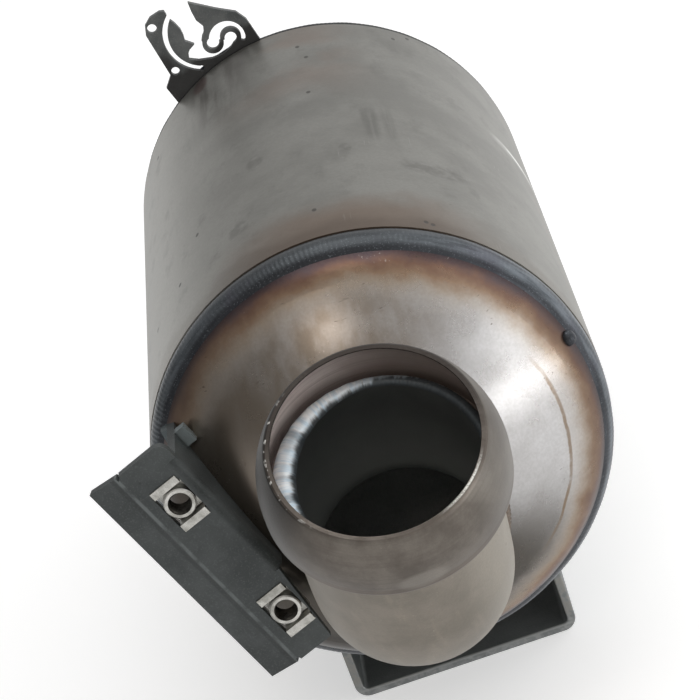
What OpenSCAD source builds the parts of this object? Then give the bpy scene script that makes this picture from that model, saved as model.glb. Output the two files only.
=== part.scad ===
// Diesel particulate filter: a round can with a domed front, a bent inlet pipe
// with a ball collar, three sheet brackets, and the ceramic filter block inside.
// The can lies along Y with its inlet towards -Y, and the part stands on its lower bracket.
// The origin is the middle of the lower bracket's underside.

/* [Can] */
// Outside diameter of the can
can_d = 154; // [150:1:165]
// Length of the can between its two end welds
can_len = 225; // [215:1:260]
// Sheet thickness of the can
shell_t = 1.5; // [1:0.1:2]
// How far the seam weld stands out of the can
seam_rise = 0.8; // [0.5:0.1:1.2]
// Width of the seam weld
seam_w = 5; // [4:0.5:7]
// Place of the seam weld round the can, measured from straight down
seam_turn = 62; // [50:1:75]

/* [Cones] */
// Sheet thickness of both cones
cone_t = 1.5; // [1.2:0.1:2]
// Play between a cone's skirt and the can
skirt_play = 0.1; // [0.05:0.05:0.3]
// Length of a cone's skirt inside the can
skirt_len = 14; // [10:1:16]
// Radius of the front cone's crown
crown_r = 110; // [105:1:130]
// Radius of the knuckle between crown and skirt
knuckle_r = 22; // [18:1:26]
// Length of the rear cone from the can to its neck
rear_cone_len = 48; // [40:1:70]
// Radius of the rear cone's knuckle
rear_knuckle_r = 13; // [8:0.5:13]
// Radius of the flare between the rear cone and its neck
rear_flare_r = 9; // [5:0.5:12]
// Length of rear neck that stays clear of the outlet pipe
rear_neck_len = 4; // [3:0.5:10]
// Width of the ring weld at the can's front
ring_weld_w = 8; // [7:0.1:9]
// Width of the ring weld at the can's rear
rear_weld_w = 5.6; // [5:0.1:7]
// Radius of the drop where the front ring weld was stopped
stop_r = 2.8; // [2.4:0.1:3.2]
// Place of that drop round the can, from +X upwards
stop_turn = 16; // [0:1:30]

/* [Inlet elbow] */
// Outside diameter of the inlet and outlet pipes
pipe_d = 63.5; // [58:0.5:66]
// Wall of the inlet and outlet pipes
pipe_t = 2; // [1.5:0.1:3]
// How far the inlet pipe sits below the can's axis
inlet_drop = 15.5; // [12:0.5:17]
// Distance from the can's front edge to the start of the bend
bend_start = 46; // [44:1:60]
// Radius of the bend at the pipe's axis
bend_r = 50; // [45:1:60]
// Angle of the bend
bend_angle = 55.4; // [45:0.1:60]
// Turn of the bend about the pipe, from straight up
elbow_turn = 5; // [0:1:10]
// Straight pipe between the bend and the collar
bend_tail = 39.5; // [34:0.5:60]
// How far the inlet pipe reaches behind the dome's crown
pipe_reach = 14; // [13:1:20]
// Radius of the root weld's bead
root_weld_r = 2.6; // [2.4:0.1:4]

/* [Ball collar] */
// Radius of the collar's ball
ball_r = 37.3; // [36.5:0.1:39]
// Length of the collar
collar_len = 27; // [25:0.5:30]
// Wall of the collar
collar_t = 1.6; // [1.4:0.1:2]
// Height of the ball's centre above the collar's foot
ball_rise = 8; // [7:0.5:9]
// Radius of the collar's rounded shoulder
shoulder_r = 4.5; // [3.5:0.5:5]
// How far the pipe reaches into the collar
collar_overlap = 6.5; // [6:0.1:7]
// How far the collar's weld bulges into the pipe on its heavy side
collar_weld_bulge = 4; // [3:0.1:5]
// Width of the collar's weld beside the pipe
collar_weld_lap = 1.5; // [1:0.1:2]

/* [Outlet] */
// Length of outlet pipe beyond the rear neck
outlet_len = 43; // [35:1:90]
// How far the outlet pipe reaches over the rear neck
outlet_grip = 10; // [6:0.5:12]

/* [Filter block] */
// Diameter of the filter block
block_d = 143.8; // [138:0.1:145]
// Length of the mesh rings in front of and behind the filter block
mesh_len = 9.5; // [6:0.5:20]
// Width of a square segment
segment_w = 34.3; // [32:0.1:34.5]
// Cement joint between segments
joint_w = 1.2; // [0.8:0.1:2]
// Cement skin round the block
block_skin = 1; // [0.8:0.1:2]
// How far a mesh ring covers the block's edge
ring_lap = 4; // [2:0.5:6]

/* [Side bracket] */
// Turn of the bracket's outward direction, from straight down
side_turn = 68.5; // [60:0.5:75]
// Distance from the can's front edge to the bracket's face
side_face = 40; // [39:0.5:44]
// Sheet thickness of the side bracket
side_t = 3; // [2:0.5:3]
// Distance from the can's axis to the bracket's inner edge
side_inner = 42.3; // [41.5:0.1:44]
// Distance from the can's axis to the bracket's fold
side_fold = 61.4; // [60.5:0.1:63]
// Width of the strip beyond the fold
side_strip_w = 11.4; // [8:0.1:14]
// How far the strip is bent back
side_strip_angle = 16; // [8:1:25]
// Length of the face to the left of the can's radius
side_left = 64; // [62:0.5:66]
// Length of the face to the right of the can's radius
side_right = 25; // [22:0.5:28]
// Place of the left nut along the bracket
nut_left = 43.9; // [42:0.1:46]
// Place of the right nut along the bracket
nut_right = 7.8; // [6:0.1:9]
// Distance from the can's axis to the nuts
nut_out = 51.9; // [51.5:0.1:53]
// Width of the side bracket's weld
side_weld_w = 2.6; // [2:0.1:3]

/* [Cage nuts] */
// Length of the square hole along the bracket
cage_hole_l = 13.4; // [13.2:0.1:14]
// Width of the square hole across the bracket
cage_hole_w = 11.2; // [11.2:0.1:12]
// Sheet thickness of a cage
cage_t = 0.6; // [0.5:0.1:0.7]
// Radius of a nut's barrel
barrel_r = 5.3; // [4.8:0.1:5.3]
// Radius of a nut's threaded hole
thread_r = 3.4; // [3.3:0.05:3.5]
// Thickness of a nut's square body
nut_t = 4.2; // [3.5:0.1:4.5]
// Play of a nut in its cage
nut_play = 0.12; // [0.05:0.01:0.2]
// Width of a cage's lug on the face of the bracket
lug_w = 2.2; // [1.5:0.1:3]

/* [Lower bracket] */
// Distance from the can's axis to the bracket's underside
axis_h = 104; // [98:1:125]
// Width of the lower bracket
lower_w = 82; // [74:1:92]
// Length of the lower bracket along the can
lower_len = 110; // [95:1:130]
// Distance from the can's front edge to the lower bracket
lower_front = 25; // [15:1:35]
// Sheet thickness of the lower bracket
lower_t = 3; // [2:0.5:4]
// Outside bend radius of the lower bracket
lower_bend_r = 5; // [4.5:0.5:8]
// Radius of the lower bracket's weld beads
lower_weld_r = 3; // [2:0.5:4]

/* [Holder bracket] */
// Turn of the holder's middle, from straight up towards -X
holder_turn = 18; // [10:1:25]
// Width of the holder
holder_w = 42; // [40:0.5:46]
// Sheet thickness of the holder
holder_t = 2.5; // [2:0.1:3]
// Distance from the can's rear edge back to the holder's front face
holder_behind = 1; // [0.6:0.1:2]
// Height of the holder's spring cut-out above the can's surface
holder_rise = 5.2; // [5:0.1:7]
// Radius of the holder's weld bead
holder_weld_r = 2.2; // [1.5:0.1:2.5]

/* [Hidden] */
$fn = 96;
fine_fn = 480;
far = 400;
can_r = can_d / 2;
can_bore_r = can_r - shell_t;
skirt_r = can_bore_r - skirt_play;
pipe_r = pipe_d / 2;
ring_y = -(lower_front + lower_len / 2);
stainless = "#8f8b84";
heat_tint = "#7a6a5c";
weld_blue = "#56606b";
weld_silver = "#aab2b8";
slate = "#484d4e";
dark_slate = "#323536";
zinc = "#b9b6a4";
ceramic = "#6d6a66";
cement_grey = "#8a8780";
mat_cream = "#d5cfbd";
mesh_grey = "#9a9a98";

// Dome: the knuckle's centre, and the crown's centre behind the can's front edge
knuckle_x = skirt_r - knuckle_r;
crown_y = sqrt(pow(crown_r - knuckle_r, 2) - pow(knuckle_x, 2));
stop_forward = 32;
function crown_at(r) = crown_y - sqrt(pow(crown_r, 2) - pow(r, 2));
root_top = crown_at(inlet_drop - pipe_r);
root_low = crown_at(inlet_drop + pipe_r);
root_mid = (root_top + root_low) / 2;
root_tilt = atan2(root_low - root_top, pipe_d);
pipe_in = root_top + pipe_reach;

// Bead over the pipe's end inside the collar. The bore through its heavy side is off the pipe's axis
pipe_bore_r = pipe_r - pipe_t;
collar_weld_in = pipe_bore_r - collar_weld_bulge;
collar_weld_out = pipe_r + collar_weld_lap;
collar_weld_trim = 0.3;
bead_sink = 0.8;
heavy_edge = collar_weld_in + collar_weld_trim;
light_edge = pow(pipe_bore_r, 2) / heavy_edge;
collar_weld_bore_r = (light_edge + heavy_edge) / 2;
collar_weld_shift = (light_edge - heavy_edge) / 2;

// Filter block between the two mesh rings
block_front = skirt_len + mesh_len;
block_len = can_len - 2 * block_front;
block_r = block_d / 2;
segment_pitch = segment_w + joint_w;
segments_across = 4;

// Rear cone, whose neck stands inside the outlet pipe
neck_r = pipe_bore_r - skirt_play;
neck_start = can_len + rear_cone_len;
outlet_start = neck_start + rear_neck_len;
neck_end = outlet_start + outlet_grip;
arc_bite = 0.1;
rear_knuckle_at = [skirt_r - rear_knuckle_r - arc_bite, can_len];
rear_flare_at = [neck_r + rear_flare_r + arc_bite, neck_start];
rear_span = rear_flare_at - rear_knuckle_at;
cone_turn = atan2(rear_span[1], rear_span[0]) - acos((rear_knuckle_r + rear_flare_r) / norm(rear_span));
cone_normal = [cos(cone_turn), sin(cone_turn)];

// Side bracket: u runs along it, v outwards from the can's axis
side_bend_r = side_t + 1;
flange_left = 57;
flange_right = 5;
flange_step = 1.6;
ear_w = 6.5;
ear_reach = 4;
ear_face = 22;
corner_r = 4;
relief_r = 1.4;
inner_slope = 3.4;

// Cage nuts
cage_wall = cage_hole_l / 2 - 0.15;
cage_half_w = cage_hole_w / 2 - 0.4;
cage_depth = side_t + nut_play + nut_t + nut_play + cage_t;
nut_half_l = cage_wall - cage_t - nut_play;
barrel_rise = 0.5;
bolt_clear_r = 4.3;

// Lower bracket
lower_inner_r = lower_bend_r - lower_t;

// Holder bracket: u runs along it, v outwards from the can's surface
// The pattern's own measures are in steps of a forty-second of its width
pattern = holder_w / 42;
hook_r = 2.4 * pattern;
strip_w = 1.8 * pattern;
blob_r = 2.45 * pattern;
hook = pattern * [10.3, 0];
blob = pattern * [3.5, 2.5];
slot_bow = pattern * [9, 0.5];
slot_bow_r = 7.2 * pattern;
long_slot = pattern * [2.6, 8.5];
long_slot_r = 14.45 * pattern;
long_slot_w = 2 * pattern;
jaw_hole_r = 1.9 * pattern;
foot_hole_r = 1.7 * pattern;
holder_rear = can_len + holder_behind + holder_t;
holder_weld_sweep = 26;

// Places children with the can's axis on Y and the can's front edge at zero
module on_axis() {
    translate([0, ring_y, axis_h]) children();
}

// Turns a profile of radius and distance along the can about the can's axis
module turned() {
    on_axis() rotate([-90, 0, 0]) rotate_extrude() children();
}

// Bar along the can, from one distance behind the front edge to another
module bar(r, y0, y1) {
    translate([0, y0, 0]) rotate([-90, 0, 0]) cylinder(r = r, h = y1 - y0);
}

// Section of a ring between two angles, with slightly wider round ends
module arc_slot(r, w, from, to) {
    end_r = w / 2 + 0.15;
    intersection() {
        difference() {
            circle(r + w / 2);
            circle(r - w / 2);
        }
        polygon(concat([[0, 0]], [for (i = [0:8])
            let (a = from + (to - from) * i / 8) 2 * r * [cos(a), sin(a)]]));
    }
    rotate(from) translate([r, 0]) circle(end_r);
    rotate(to) translate([r, 0]) circle(end_r);
}

// Can shell and its seam

module can_shell() {
    color(stainless) on_axis() difference() {
        bar(can_r, 0, can_len);
        bar(can_bore_r, -1, can_len + 1);
    }
}

module shell_seam_weld() {
    $fn = fine_fn;
    rise_r = (pow(seam_w / 2, 2) + pow(seam_rise, 2)) / (2 * seam_rise);
    color(stainless) on_axis() difference() {
        rotate([0, seam_turn - 180, 0]) translate([0, 0, can_r + seam_rise - rise_r]) bar(rise_r, 0, can_len);
        bar(can_r, -1, can_len + 1);
    }
}

// Front cone: a stamped dome of one crown arc and one knuckle arc

module dome_profile(grow, back) {
    reach = crown_r + grow;
    intersection() {
        translate([0, -far]) square([far, far + back]);
        union() {
            intersection() {
                translate([0, crown_y]) circle(reach);
                polygon([[0, crown_y], [far * knuckle_x, crown_y - far * crown_y], [0, -far * crown_y]]);
            }
            translate([knuckle_x, 0]) circle(knuckle_r + grow);
            polygon([[0, crown_y], [0, -knuckle_r / 2], [knuckle_x, -knuckle_r / 2], [knuckle_x, crown_y]]);
            square([skirt_r + grow, far]);
        }
    }
}

module dome_solid(grow) {
    rotate([-90, 0, 0]) rotate_extrude() dome_profile(grow, skirt_len);
}

module front_cone() {
    color(heat_tint) on_axis() difference() {
        rotate([-90, 0, 0]) rotate_extrude() difference() {
            dome_profile(0, skirt_len);
            dome_profile(-cone_t, skirt_len + 1);
        }
        translate([0, 0, -inlet_drop]) bar(pipe_r, -crown_r, 0);
    }
}

// Bead that fills the step between a cone's skirt and the can's edge
module ring_bead_profile(width) {
    bead_rise = can_r - skirt_r;
    bead_lap = 0.62 * width;
    bead_r = (pow(bead_lap, 2) + pow(bead_rise, 2)) / (2 * bead_rise);
    intersection() {
        translate([can_r - bead_r, bead_lap - width]) circle(bead_r);
        translate([0, -far]) square([far, far]);
    }
}

// The bead ends in a round drop where the weld was stopped
module front_ring_weld() {
    color(weld_blue) {
        turned() difference() {
            ring_bead_profile(ring_weld_w);
            dome_profile(0, skirt_len);
        }
        on_axis() difference() {
            rotate([0, -stop_turn, 0]) translate([knuckle_x, 0, 0]) rotate([0, 0, -stop_forward])
                translate([knuckle_r, 0, 0]) sphere(stop_r);
            dome_solid(0);
        }
    }
}

// Inlet elbow

// Start of the bend: +Y runs out of the can, and the bend turns towards -X
module at_bend() {
    on_axis() translate([0, -bend_start, -inlet_drop]) rotate([0, elbow_turn, 0]) rotate([0, 90, 180]) children();
}

// Foot of the collar: +Z runs along its axis, out of its mouth
module at_collar() {
    at_bend() translate([-bend_r, 0, 0]) rotate([0, 0, bend_angle]) translate([bend_r, bend_tail, 0])
        rotate([-90, 0, 0]) children();
}

module elbow_bar(r, tail) {
    at_bend() {
        rotate([90, 0, 0]) cylinder(r = r, h = bend_start + pipe_in);
        translate([-bend_r, 0, 0]) rotate_extrude(angle = bend_angle) translate([bend_r, 0]) circle(r);
        translate([-bend_r, 0, 0]) rotate([0, 0, bend_angle]) translate([bend_r, 0, 0])
            rotate([-90, 0, 0]) cylinder(r = r, h = tail);
    }
}

module inlet_elbow() {
    color(stainless) at_bend() {
        rotate([90, 0, 0]) pipe(bend_start + pipe_in);
        translate([-bend_r, 0, 0]) rotate_extrude(angle = bend_angle) translate([bend_r, 0]) difference() {
            circle(pipe_r);
            circle(pipe_r - pipe_t);
        }
        translate([-bend_r, 0, 0]) rotate([0, 0, bend_angle]) translate([bend_r, 0, 0])
            rotate([-90, 0, 0]) pipe(bend_tail + collar_overlap);
    }
}

module pipe(length) {
    difference() {
        cylinder(r = pipe_r, h = length);
        translate([0, 0, -1]) cylinder(r = pipe_r - pipe_t, h = length + 2);
    }
}

module elbow_root_weld() {
    $fn = fine_fn / 2;
    color(weld_blue) difference() {
        on_axis() translate([0, root_mid, -inlet_drop]) rotate([-90 + root_tilt, 0, 0])
            rotate_extrude() translate([pipe_r, 0]) circle(root_weld_r);
        on_axis() dome_solid(0);
        elbow_bar(pipe_r, bend_tail);
    }
}

// Ball collar

module collar_profile() {
    inner_r = ball_r - collar_t;
    shoulder_x = sqrt(pow(ball_r, 2) - pow(ball_rise - shoulder_r, 2)) - shoulder_r + 0.2;
    difference() {
        intersection() {
            translate([0, ball_rise]) circle(ball_r);
            union() {
                square([shoulder_x, collar_len]);
                translate([0, shoulder_r]) square([ball_r, collar_len - shoulder_r]);
                translate([shoulder_x, shoulder_r]) circle(shoulder_r);
            }
        }
        intersection() {
            translate([0, ball_rise]) circle(inner_r);
            translate([0, collar_t]) square([ball_r, collar_len]);
        }
        translate([0, -1]) square([pipe_r, ball_rise]);
    }
}

module ball_collar() {
    color(heat_tint) at_collar() rotate_extrude() collar_profile();
}

// Upper part of a round bead that sits a little deep on the pipe's end
module end_bead(inner, outer) {
    bead_r = (outer - inner) / 2;
    rotate_extrude() intersection() {
        translate([inner + bead_r, collar_overlap - bead_sink]) circle(bead_r);
        translate([0, collar_overlap]) square([far, far]);
    }
}

module collar_inner_weld() {
    color(weld_silver) at_collar() {
        end_bead(pipe_bore_r, collar_weld_out - collar_weld_trim);
        difference() {
            end_bead(collar_weld_in, collar_weld_out);
            translate([0, collar_weld_shift, 0]) cylinder(r = collar_weld_bore_r, h = far);
        }
        rotate_extrude() translate([pipe_r, collar_t])
            square([collar_weld_lap - collar_weld_trim, collar_overlap - collar_t]);
    }
}

// Rear cone and outlet

// A knuckle arc, a straight cone and a flare arc into the neck, which cross a little where they meet
module rear_profile(inset) {
    r = skirt_r - inset;
    neck = neck_r - inset;
    knuckle = rear_knuckle_r - inset;
    flare = rear_flare_r + inset;
    difference() {
        union() {
            polygon([[0, can_len - skirt_len], [r, can_len - skirt_len], [r, can_len],
                rear_knuckle_at + (knuckle - arc_bite) * cone_normal,
                rear_flare_at - (flare - arc_bite) * cone_normal,
                [neck, neck_start], [neck, neck_end], [0, neck_end]]);
            translate(rear_knuckle_at) circle(knuckle);
        }
        translate(rear_flare_at) circle(flare);
    }
}

module rear_cone() {
    color(stainless) turned() difference() {
        rear_profile(0);
        rear_profile(cone_t);
    }
}

module rear_bead_profile() {
    translate([0, can_len]) mirror([0, 1]) ring_bead_profile(rear_weld_w);
}

module rear_ring_weld() {
    color(weld_blue) turned() difference() {
        rear_bead_profile();
        rear_profile(0);
    }
}

module outlet_pipe() {
    color(stainless) on_axis() translate([0, outlet_start, 0]) rotate([-90, 0, 0])
        pipe(outlet_grip + outlet_len);
}

module outlet_root_weld() {
    color(weld_blue) turned() difference() {
        translate([neck_r, outlet_start]) circle(pipe_r - neck_r);
        rear_profile(0);
        translate([0, outlet_start]) square([far, far]);
    }
}

// Filter block

module one_segment(i, j) {
    half = (segments_across - 1) / 2;
    translate([(i - half) * segment_pitch, block_front + block_len / 2, (j - half) * segment_pitch])
        cube([segment_w, block_len, segment_w], center = true);
}

// Segment squares in the middle of the block, or those that the round outside cuts
module segments(core) {
    half = (segments_across - 1) / 2;
    for (i = [0:segments_across - 1], j = [0:segments_across - 1])
        if (core == (abs(i - half) < 1 && abs(j - half) < 1)) intersection() {
            one_segment(i, j);
            bar(block_r - block_skin, block_front, block_front + block_len);
        }
}

module core_segments() {
    color(ceramic) on_axis() segments(true);
}

module edge_segments() {
    color(ceramic) on_axis() segments(false);
}

module segment_cement() {
    color(cement_grey) on_axis() difference() {
        bar(block_r, block_front, block_front + block_len);
        for (i = [0:segments_across - 1], j = [0:segments_across - 1]) intersection() {
            one_segment(i, j);
            bar(block_r - block_skin, block_front, block_front + block_len);
        }
    }
}

module support_mat() {
    color(mat_cream) turned() translate([block_r, block_front]) square([can_bore_r - block_r, block_len]);
}

module mesh_ring(y) {
    color(mesh_grey) turned() translate([block_r - ring_lap, y])
        square([can_bore_r - block_r + ring_lap, mesh_len]);
}

module front_mesh_ring() {
    mesh_ring(skirt_len);
}

module rear_mesh_ring() {
    mesh_ring(block_front + block_len);
}

// Side bracket

// X runs along the bracket, Y outwards from the can's axis, Z back from its face
module on_side() {
    on_axis() rotate([0, side_turn, 0]) rotate([-90, 0, 0]) translate([0, 0, -side_face]) children();
}

module side_face_outline() {
    step_v = side_inner + flange_step;
    difference() {
        union() {
            polygon([[-side_left, side_inner + corner_r], [-side_left + corner_r, side_inner],
                [-flange_right, side_inner], [-flange_right, step_v], [side_right, step_v + inner_slope],
                [side_right, side_fold], [-side_left, side_fold]]);
            translate([corner_r - side_left, side_inner + corner_r]) circle(corner_r);
        }
        for (u = [-side_left, side_right]) translate([u, side_fold]) circle(relief_r);
    }
}

module cage_holes() {
    for (u = [-nut_left, nut_right]) translate([u, nut_out, side_t / 2])
        cube([cage_hole_l, cage_hole_w, side_t + 0.2], center = true);
}

// Section of the face's bend into the rear flange, along the bracket
module flange_section(depth) {
    difference() {
        square([side_t + side_bend_r, depth]);
        translate([side_t, side_t]) square([side_bend_r + 1, depth]);
        difference() {
            square(side_bend_r);
            translate([side_bend_r, side_bend_r]) circle(side_bend_r);
        }
    }
}

module side_bracket() {
    flange_len = flange_left - flange_right;
    color(slate) difference() {
        on_side() {
            linear_extrude(side_t) difference() {
                side_face_outline();
                translate([-flange_left, side_inner - 1]) square([flange_len, side_bend_r + 1]);
            }
            translate([-flange_left, side_inner, 0]) rotate([90, 0, 90]) linear_extrude(flange_len)
                flange_section(side_face);
            translate([0, side_fold, 0]) rotate([side_strip_angle, 0, 0]) linear_extrude(side_t)
                translate([-side_left, 0]) square([side_left + side_right, side_strip_w]);
            translate([-flange_left, side_inner - ear_reach, side_face - ear_face])
                cube([ear_w, ear_reach + side_t, side_t]);
        }
        on_side() cage_holes();
        on_axis() dome_solid(0);
    }
}

// Fillet in the corner between the flange and the dome
module side_fillet() {
    flange_len = flange_left - flange_right;
    intersection() {
        on_axis() difference() {
            dome_solid(side_weld_w);
            dome_solid(0);
        }
        on_side() translate([-flange_left, side_inner + side_t, side_t])
            cube([flange_len, side_weld_w, side_face]);
    }
}

module side_bracket_weld() {
    color(weld_blue) difference() {
        side_fillet();
        turned() ring_bead_profile(ring_weld_w);
    }
}

// Cage nuts: seen from the bracket's face, the cage hooks over the two ends of its hole

module at_nut(u) {
    on_side() translate([u, nut_out, 0]) children();
}

module nut_cage(u) {
    color(zinc) at_nut(u) {
        for (side = [0, 1]) mirror([side, 0, 0]) {
            translate([cage_wall - cage_t, -cage_half_w, -cage_t]) cube([cage_t, 2 * cage_half_w, cage_t + cage_depth]);
            translate([cage_wall - cage_t, -cage_half_w, -cage_t]) cube([lug_w + cage_t, 2 * cage_half_w, cage_t]);
        }
        difference() {
            translate([-cage_wall, -cage_half_w, cage_depth - cage_t])
                cube([2 * cage_wall, 2 * cage_half_w, cage_t]);
            cylinder(r = bolt_clear_r, h = far);
        }
    }
}

module cage_nut(u) {
    color(zinc) at_nut(u) difference() {
        union() {
            translate([-nut_half_l, -cage_half_w, side_t + nut_play]) cube([2 * nut_half_l, 2 * cage_half_w, nut_t]);
            translate([0, 0, -barrel_rise]) cylinder(r = barrel_r, h = barrel_rise + side_t + nut_play + 1);
        }
        translate([0, 0, -1]) cylinder(r = thread_r, h = far);
    }
}

module upper_nut_cage() {
    nut_cage(-nut_left);
}

module upper_cage_nut() {
    cage_nut(-nut_left);
}

module lower_nut_cage() {
    nut_cage(nut_right);
}

module lower_cage_nut() {
    cage_nut(nut_right);
}

// Lower bracket: a channel whose two flanges are cut to the can

module channel_profile() {
    difference() {
        union() {
            translate([-lower_w / 2, lower_bend_r]) square([lower_w, axis_h - lower_bend_r]);
            translate([-lower_w / 2 + lower_bend_r, 0]) square([lower_w - 2 * lower_bend_r, axis_h]);
            for (side = [-1, 1]) translate([side * (lower_w / 2 - lower_bend_r), lower_bend_r]) circle(lower_bend_r);
        }
        translate([-lower_w / 2 + lower_t, lower_bend_r]) square([lower_w - 2 * lower_t, axis_h]);
        translate([-lower_w / 2 + lower_bend_r, lower_t]) square([lower_w - 2 * lower_bend_r, axis_h]);
        for (side = [-1, 1]) translate([side * (lower_w / 2 - lower_bend_r), lower_bend_r]) circle(lower_inner_r);
    }
}

module lower_bracket() {
    color(dark_slate) difference() {
        translate([0, lower_len / 2, 0]) rotate([90, 0, 0]) linear_extrude(lower_len) channel_profile();
        on_axis() bar(can_r, -far, far);
    }
}

module lower_bracket_welds() {
    $fn = fine_fn;
    foot_z = axis_h - sqrt(pow(can_r, 2) - pow(lower_w / 2, 2));
    inset = 4;
    color(weld_blue) difference() {
        for (side = [-1, 1]) translate([side * lower_w / 2, -lower_len / 2 + inset, foot_z])
            rotate([-90, 0, 0]) cylinder(r = lower_weld_r, h = lower_len - 2 * inset);
        on_axis() bar(can_r, -far, far);
        translate([-lower_w / 2, -lower_len, 0]) cube([lower_w, 2 * lower_len, axis_h]);
    }
}

// Holder bracket: a flat plate with a clip cut into it

module holder_outline() {
    polygon(pattern * [[-22.3, -14], [-22.3, -0.9], [-17.8, 2.2], [-15.4, 21], [-13.3, 24.3], [-9.8, 25.8],
        [-5.4, 25.5], [-3.1, 24.1], [5.7, 21.6], [12.9, 12.8], [18.3, 7], [19.7, 2.2], [19.4, -2.3], [18.5, -14]]);
}

// Slot above the spring strip, from the blob at its left round the hook
module upper_slot() {
    translate(blob) circle(blob_r);
    difference() {
        intersection() {
            translate(slot_bow) circle(slot_bow_r);
            translate(hook) polygon(concat([[0, 0]], [for (a = [-50:30:160]) 3 * slot_bow_r * [cos(a), sin(a)]]));
        }
        translate(hook) circle(hook_r + strip_w);
    }
}

// Mouth of the clip, with the pocket below the spring strip and the hook at its right
module clip_mouth() {
    difference() {
        union() {
            translate(hook) circle(hook_r);
            polygon(pattern * [[-3, 31], [-4.2, 20.7], [-3.5, 18.1], [-3.2, 14.7], [-3.8, 12], [-4.7, 9.9],
                [-2.6, 6.6], [-5.4, 6], [-6.6, 5.2], [-7.9, 3], [-5.2, 0.3], [-0.4, -2.4], [4.1, -3.5],
                [8.2, -3.1], [10.3, -2.3], [10.3, 0], [3.5, 2.5], [0.4, 5.9], [1.7, 7.2], [3.2, 8.1],
                [4.7, 10.5], [3.9, 13.9], [4.6, 17.8], [5.7, 21.6], [8, 31]]);
        }
        translate(blob) circle(blob_r + strip_w);
    }
}

module holder_cuts() {
    upper_slot();
    clip_mouth();
    // Long slot behind the left jaw, and the two small holes
    translate(long_slot) arc_slot(long_slot_r, long_slot_w, 108, 232);
    translate(pattern * [-11.8, 21.8]) circle(jaw_hole_r);
    translate(pattern * [-15.2, 2.5]) circle(foot_hole_r);
}

// X runs along the holder, Y outwards from the can's axis, Z forwards from its rear face
module on_holder() {
    on_axis() translate([0, holder_rear, 0]) rotate([0, -holder_turn, 0]) rotate([90, 0, 0]) children();
}

module holder_bracket() {
    color(slate) difference() {
        on_holder() translate([0, can_r + holder_rise, 0]) linear_extrude(holder_t) difference() {
            holder_outline();
            holder_cuts();
        }
        turned() rear_bead_profile();
        turned() rear_profile(0);
    }
}

module holder_bracket_weld() {
    color(weld_blue) difference() {
        on_holder() rotate([0, 0, 90 - holder_weld_sweep / 2]) rotate_extrude(angle = holder_weld_sweep)
            translate([can_r, 0]) circle(holder_weld_r);
        turned() rear_bead_profile();
        turned() rear_profile(0);
        on_axis() translate([-far / 2, holder_rear - far, -far / 2]) cube([far, far, far]);
    }
}

can_shell();
shell_seam_weld();
front_cone();
front_ring_weld();
inlet_elbow();
elbow_root_weld();
ball_collar();
collar_inner_weld();
rear_cone();
rear_ring_weld();
outlet_pipe();
outlet_root_weld();
core_segments();
edge_segments();
segment_cement();
support_mat();
front_mesh_ring();
rear_mesh_ring();
side_bracket();
side_bracket_weld();
upper_nut_cage();
upper_cage_nut();
lower_nut_cage();
lower_cage_nut();
lower_bracket();
lower_bracket_welds();
holder_bracket();
holder_bracket_weld();
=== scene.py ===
"""Looks of a diesel particulate filter: a stainless can with a domed front, a bent inlet pipe and sheet brackets."""
import math

import bmesh
import bpy
import numpy as np
from mathutils import Matrix, Vector


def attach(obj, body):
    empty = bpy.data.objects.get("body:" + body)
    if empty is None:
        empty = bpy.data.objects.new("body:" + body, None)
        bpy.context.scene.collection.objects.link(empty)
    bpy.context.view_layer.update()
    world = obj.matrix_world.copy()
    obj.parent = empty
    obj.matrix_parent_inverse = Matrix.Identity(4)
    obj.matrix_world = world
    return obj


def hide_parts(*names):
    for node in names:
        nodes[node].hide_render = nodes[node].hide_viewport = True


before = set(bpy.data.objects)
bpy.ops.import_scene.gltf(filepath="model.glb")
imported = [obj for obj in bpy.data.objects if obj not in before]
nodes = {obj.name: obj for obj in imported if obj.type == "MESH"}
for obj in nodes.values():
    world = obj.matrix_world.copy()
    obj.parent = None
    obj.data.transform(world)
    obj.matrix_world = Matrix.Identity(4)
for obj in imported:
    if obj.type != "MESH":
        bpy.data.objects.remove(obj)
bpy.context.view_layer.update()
scene = bpy.context.scene

# Sizes shared with the part's source, in millimetres
MM = 0.001
AXIS_H = 104
RING_Y = -80
CAN_R = 77
CAN_LEN = 225
SKIRT_R = 75.4
KNUCKLE_R = 22
KNUCKLE_X = SKIRT_R - KNUCKLE_R
CROWN_R = 110
CROWN_Y = math.sqrt((CROWN_R - KNUCKLE_R) ** 2 - KNUCKLE_X ** 2)
PIPE_R = 31.75
PIPE_BORE_R = 29.75
PIPE_IN = -104.84
PIPE_Z = 88.5
BEND_Y = -126
BEND_R = 50
BEND_ANGLE = math.radians(55.4)
BEND_TAIL = 39.5
ELBOW_TURN = math.radians(5)
COLLAR_OVERLAP = 6.5
COLLAR_LEN = 27
COLLAR_T = 1.6
BALL_R = 37.3
BALL_RISE = 8
SHOULDER_R = 4.5
REAR_KNUCKLE = (62.3, 225)
REAR_KNUCKLE_R = 13
NECK_R = 29.65
OUTLET_START = 277
SIDE_TURN = math.radians(68.5)
SIDE_FACE = 40
SIDE_INNER = 42.3
SIDE_FOLD = 61.4
NUT_OUT = 51.9
NUT_PLACES = {"upper": -43.9, "lower": 7.8}
STOP_TURN = math.radians(16)
STOP_FORWARD = math.radians(32)
STOP_R = 2.8
WELD_OUTER_R = 33.2
WELD_BORE_R = 30.01
WELD_SHIFT = 3.96
WELD_RISE = 0.92
HOLDER_TURN = math.radians(18)

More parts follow.
